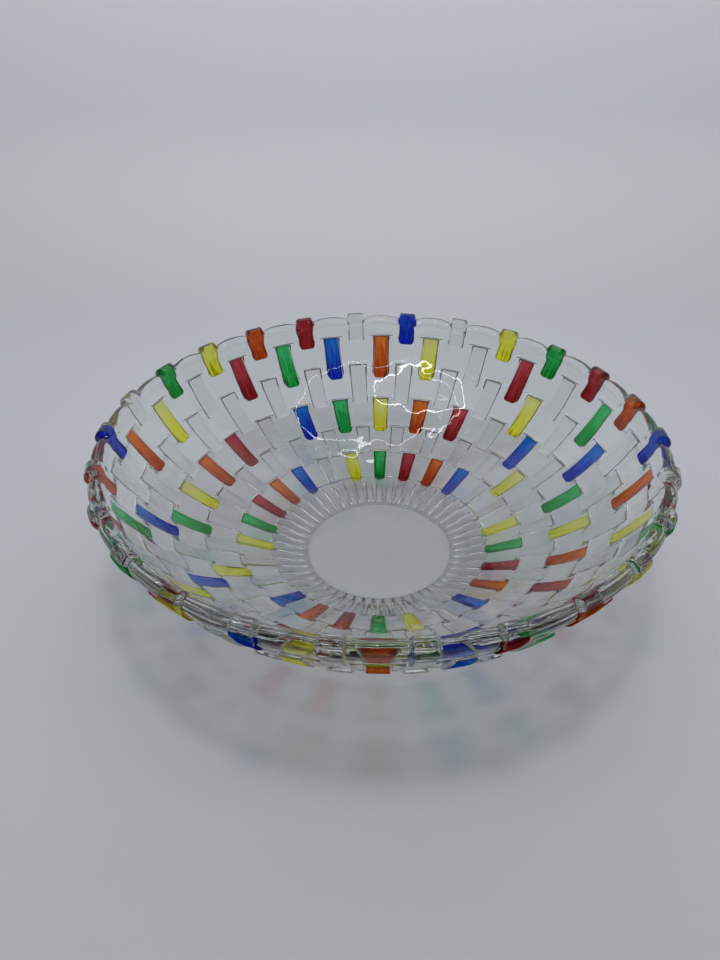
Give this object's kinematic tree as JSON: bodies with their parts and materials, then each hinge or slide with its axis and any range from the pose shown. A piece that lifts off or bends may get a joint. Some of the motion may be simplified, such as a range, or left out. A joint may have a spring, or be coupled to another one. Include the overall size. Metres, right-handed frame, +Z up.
{
  "type": "glass bowl",
  "caption": "Round open pressed-glass bowl with a basket-weave relief outside and transparent colour coats on its raised staves, for holding or serving fruit, bread or salad.",
  "frame": {"origin": "centre of the flat base, on the surface that the bowl stands on", "axes": "+Z up along the bowl's axis; +Y points away from the viewer, through the middle of an upper-row stave; +X to the right"},
  "size_m": [0.3034, 0.3013, 0.0873],
  "materials": {
    "clear_glass": "fire-polished clear pressed glass, colourless",
    "coat_red": "glossy transparent crimson fired coat",
    "coat_orange": "glossy transparent burnt-orange fired coat",
    "coat_yellow": "glossy transparent yellow fired coat",
    "coat_green": "glossy transparent emerald fired coat",
    "coat_blue": "glossy transparent cobalt fired coat"
  },
  "bodies": {
    "root": {"glass_body": "clear_glass", "middle_coat_00_green": "coat_green", "middle_coat_01_yellow": "coat_yellow", "middle_coat_02_orange": "coat_orange", "middle_coat_03_red": "coat_red", "middle_coat_05_blue": "coat_blue", "middle_coat_06_green": "coat_green", "middle_coat_07_yellow": "coat_yellow", "middle_coat_08_orange": "coat_orange", "middle_coat_09_red": "coat_red", "middle_coat_11_blue": "coat_blue", "middle_coat_13_green": "coat_green", "middle_coat_14_yellow": "coat_yellow", "middle_coat_15_orange": "coat_orange", "middle_coat_16_red": "coat_red", "middle_coat_18_blue": "coat_blue", "middle_coat_19_green": "coat_green", "middle_coat_20_yellow": "coat_yellow", "middle_coat_21_orange": "coat_orange", "middle_coat_22_red": "coat_red", "middle_coat_24_blue": "coat_blue", "rim_coat_00_orange": "coat_orange", "rim_coat_01_blue": "coat_blue", "rim_coat_03_green": "coat_green", "rim_coat_04_yellow": "coat_yellow", "rim_coat_05_orange": "coat_orange", "rim_coat_06_red": "coat_red", "rim_coat_08_blue": "coat_blue", "rim_coat_10_yellow": "coat_yellow", "rim_coat_11_green": "coat_green", "rim_coat_12_red": "coat_red", "rim_coat_13_orange": "coat_orange", "rim_coat_14_blue": "coat_blue", "rim_coat_16_green": "coat_green", "rim_coat_17_yellow": "coat_yellow", "rim_coat_18_orange": "coat_orange", "rim_coat_19_red": "coat_red", "rim_coat_22_blue": "coat_blue", "rim_coat_23_yellow": "coat_yellow", "rim_coat_24_green": "coat_green", "rim_coat_25_red": "coat_red", "upper_coat_01_orange": "coat_orange", "upper_coat_02_yellow": "coat_yellow", "upper_coat_04_red": "coat_red", "upper_coat_05_green": "coat_green", "upper_coat_06_blue": "coat_blue", "upper_coat_07_orange": "coat_orange", "upper_coat_08_yellow": "coat_yellow", "upper_coat_10_red": "coat_red", "upper_coat_12_green": "coat_green", "upper_coat_14_orange": "coat_orange", "upper_coat_15_yellow": "coat_yellow", "upper_coat_17_red": "coat_red", "upper_coat_18_green": "coat_green", "upper_coat_19_blue": "coat_blue", "upper_coat_20_orange": "coat_orange", "upper_coat_21_yellow": "coat_yellow", "upper_coat_23_red": "coat_red", "upper_coat_25_green": "coat_green"}
  },
  "joints": []
}
